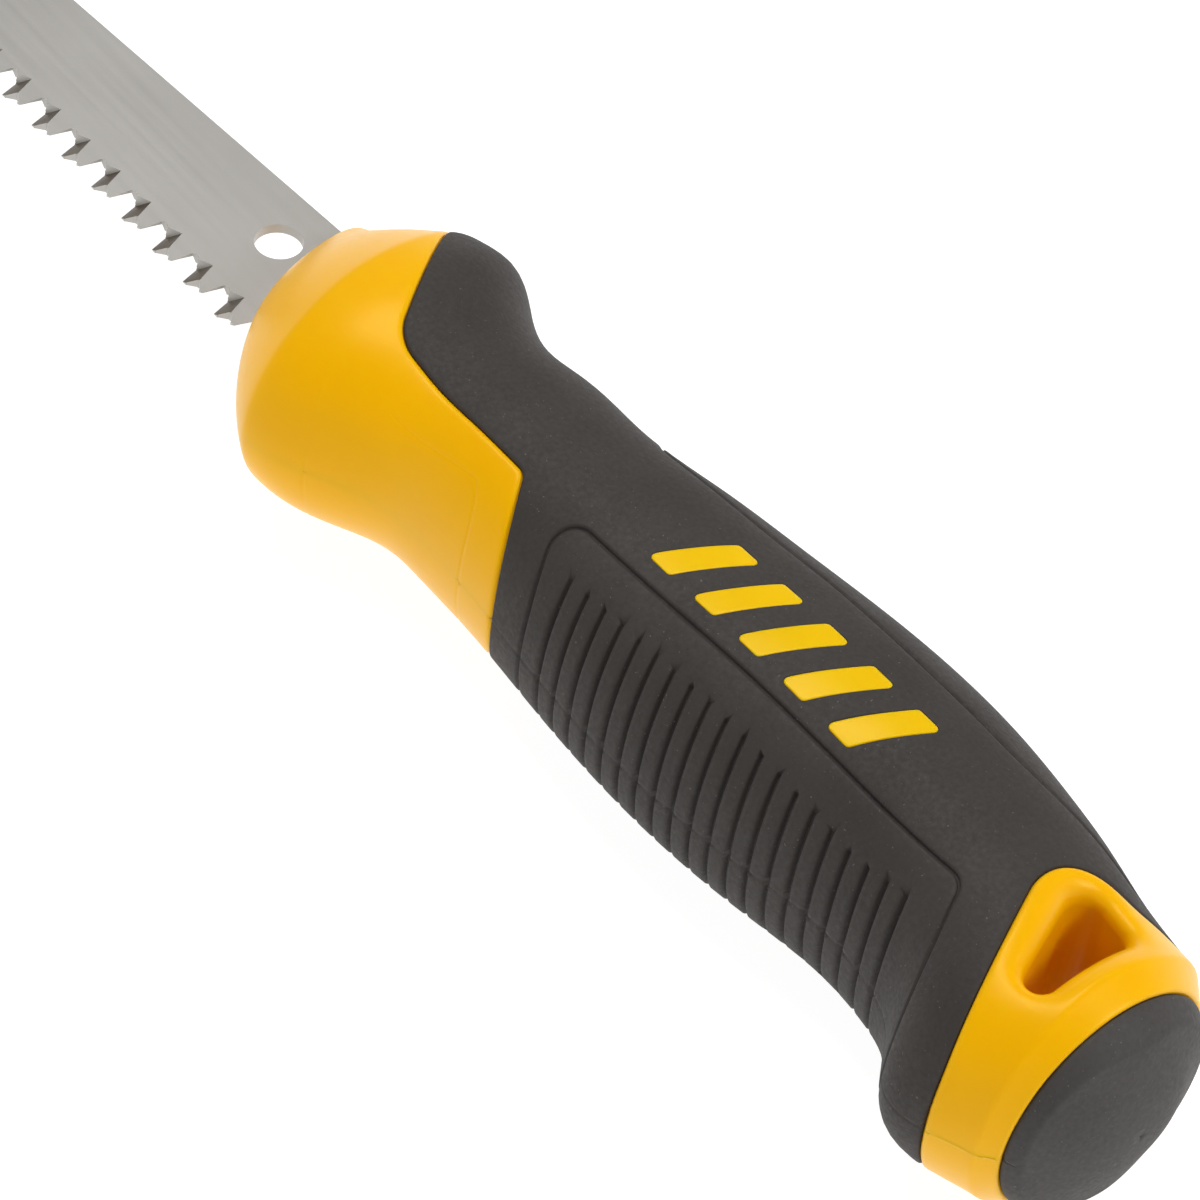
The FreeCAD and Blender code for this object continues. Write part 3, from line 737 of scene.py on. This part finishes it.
def plastic_yellow(name, deep, bright):
    """Semi-gloss moulded plastic: faint mottling, orange peel and light handling marks."""
    mat = Nodes(name)
    mottle = mat.noise(60, 4)
    mat.link(mat.ramp(mottle, [(0.3, deep), (0.7, bright)]), mat.shader.inputs["Base Color"])
    scuffs = mat.noise(900, 3, 0.6, (0.25, 1, 1))
    mat.link(mat.grey(scuffs, [(0.35, 0.29), (0.75, 0.36)]), mat.shader.inputs["Roughness"])
    peel = mat.bump(mat.noise(700, 2), 0.00002, 0.6)
    mat.link(mat.bump(scuffs, 0.000003, 0.3, peel), mat.shader.inputs["Normal"])
    mat.set(IOR=1.45, Specular_IOR_Level=0.3, Specular_Tint=(1.0, 0.8, 0.35, 1.0))
    mat.set(Subsurface_Weight=0.3, Subsurface_Radius=(1.0, 0.5, 0.05), Subsurface_Scale=0.0015)
    return mat.material


def rubber(name, dark, light, fleck, grain):
    """Matte moulded rubber: fine grain with a scatter of tiny pale dust flecks."""
    mat = Nodes(name)
    cloud = mat.noise(90, 5)
    tone = mat.ramp(cloud, [(0.3, dark), (0.7, light)])
    dust = mat.grey(mat.noise(2600, 1, 0.5), [(0.73, 0.0), (0.8, 1.0)])
    mat.link(mat.mix(dust, tone, fleck), mat.shader.inputs["Base Color"])
    mat.link(mat.grey(mat.noise(1500, 3), [(0.3, 0.62), (0.7, 0.78)]), mat.shader.inputs["Roughness"])
    mat.link(mat.bump(mat.noise(grain, 4, 0.65), 0.00006, 0.7), mat.shader.inputs["Normal"])
    mat.set(IOR=1.46)
    return mat.material


def blade_steel():
    """Satin steel with a fine grain along the blade, and painted shade on the teeth: faces tilted from the
    blade's flat are coloured dark brown.
    """
    mat = Nodes("blade_satin_steel")
    grain = mat.noise(700, 4, 0.6, (0.04, 1, 1))
    cloud = mat.noise(45, 4)
    face = mat.ramp(cloud, [(0.3, (0.43, 0.415, 0.39)), (0.7, (0.47, 0.455, 0.43))])
    # painted shade: faces whose normal tilts away from the blade's flat (the tooth bevels) get a dark
    # brown colour standing in for their shaded look
    coord = mat.add("ShaderNodeTexCoord")
    split = mat.add("ShaderNodeSeparateXYZ")
    mat.link(coord.outputs["Normal"], split.inputs["Vector"])
    size = mat.add("ShaderNodeMath", operation="ABSOLUTE")
    mat.link(split.outputs["Z"], size.inputs[0])
    slant_shade_mask = mat.grey(size.outputs["Value"], [(0.3, 0.0), (0.4, 1.0), (0.93, 1.0), (0.97, 0.0)])
    tooth_shade_colour = mat.ramp(mat.noise(260, 3), [(0.35, (0.12, 0.095, 0.07)), (0.65, (0.2, 0.18, 0.15))])
    mat.link(mat.mix(slant_shade_mask, face, tooth_shade_colour), mat.shader.inputs["Base Color"])
    mat.link(mat.grey(grain, [(0.3, 0.38), (0.7, 0.44)]), mat.shader.inputs["Roughness"])
    mat.link(mat.bump(grain, 0.000003, 0.5), mat.shader.inputs["Normal"])
    mat.set(Metallic=0.6)
    return mat.material


def dress(piece, material):
    """Put one material in every slot of a piece."""
    if not piece.material_slots:
        piece.data.materials.append(material)
    for slot in piece.material_slots:
        slot.material = material


yellow = plastic_yellow("moulded_yellow", (0.87, 0.445, 0.0002), (0.92, 0.47, 0.0004))
inlay = plastic_yellow("inlay_yellow", (0.84, 0.505, 0.0005), (0.89, 0.53, 0.001))
black = rubber(
    "grip_rubber_black", (0.027, 0.0215, 0.0185), (0.036, 0.0295, 0.0255), (0.10, 0.09, 0.085), 1800,
)
cap_black = rubber(
    "cap_rubber_black", (0.039, 0.0345, 0.0315), (0.050, 0.0455, 0.042), (0.12, 0.11, 0.10), 1400,
)
steel = blade_steel()
for piece, material in (
    (core_right, yellow), (core_left, yellow), (grip, black), (cap, cap_black), (badge_right, inlay),
    (badge_left, inlay), (NODES["blade"], steel), (NODES["tang_pin_front"], steel),
    (NODES["tang_pin_rear"], steel),
):
    dress(piece, material)


# ---------------------------------------------------------------- floor, light and camera

floor_mesh = bpy.data.meshes.new("studio_floor")
floor_mesh.from_pydata([(-2, -2, 0), (2, -2, 0), (2, 2, 0), (-2, 2, 0)], [], [(0, 1, 2, 3)])
floor = bpy.data.objects.new("studio_floor", floor_mesh)
bpy.context.scene.collection.objects.link(floor)
paper = Nodes("white_paper")
paper.link(paper.grey(paper.noise(30), [(0.3, 0.28), (0.7, 0.3)]), paper.shader.inputs["Base Color"])
paper.set(Roughness=0.9, Emission_Color=(1, 1, 1, 1), Emission_Strength=0.94)
dress(floor, paper.material)


def area_light(name, place, aim, wide, power, colour=(1, 1, 1)):
    data = bpy.data.lights.new(name, "AREA")
    data.shape = "DISK"
    data.size = wide
    data.energy = power
    data.color = colour
    lamp = bpy.data.objects.new(name, data)
    lamp.location = place
    lamp.rotation_euler = (Vector(aim) - Vector(place)).to_track_quat("-Z", "Y").to_euler()
    bpy.context.scene.collection.objects.link(lamp)


area_light("key_light", (-0.35, 0.1, 1.3), (0.05, 0, 0), 0.8, 11.5)
area_light("end_light", (0.85, 0.45, 0.75), (0.12, 0, 0), 0.4, 5)
world = bpy.data.worlds.new("soft_white_room")
world.use_nodes = True
sky = world.node_tree
coord = sky.nodes.new("ShaderNodeTexCoord")
split = sky.nodes.new("ShaderNodeSeparateXYZ")
fade = sky.nodes.new("ShaderNodeValToRGB")
fade.color_ramp.elements[0].position = 0.1
fade.color_ramp.elements[0].color = (1, 1, 1, 1)
fade.color_ramp.elements[1].position = 0.5
fade.color_ramp.elements[1].color = (0.2, 0.2, 0.2, 1)
sky.links.new(coord.outputs["Generated"], split.inputs["Vector"])
sky.links.new(split.outputs["Z"], fade.inputs["Fac"])
sky.links.new(fade.outputs["Color"], sky.nodes["Background"].inputs["Color"])
sky.nodes["Background"].inputs["Strength"].default_value = 1.0
bpy.context.scene.world = world
bpy.context.scene.view_settings.view_transform = "Standard"

CAMERA_PLACE = Vector((366.85, -307.39, 490.65)) * MM
CAMERA_AIM = Vector((59.24, -2.16, 19.4)) * MM
CAMERA_ROLL = math.radians(8.929)
camera_data = bpy.data.cameras.new("camera")
camera_data.lens = 150
camera_data.sensor_width = 36
camera = bpy.data.objects.new("camera", camera_data)
view = (CAMERA_AIM - CAMERA_PLACE).normalized()
level = view.cross(Vector((0, 0, 1))).normalized()
up = level.cross(view)
right = level * math.cos(CAMERA_ROLL) + up * math.sin(CAMERA_ROLL)
lift = right.cross(view)
camera.matrix_world = Matrix((
    (right.x, lift.x, -view.x, CAMERA_PLACE.x), (right.y, lift.y, -view.y, CAMERA_PLACE.y),
    (right.z, lift.z, -view.z, CAMERA_PLACE.z), (0, 0, 0, 1),
))
bpy.context.scene.collection.objects.link(camera)
bpy.context.scene.camera = camera
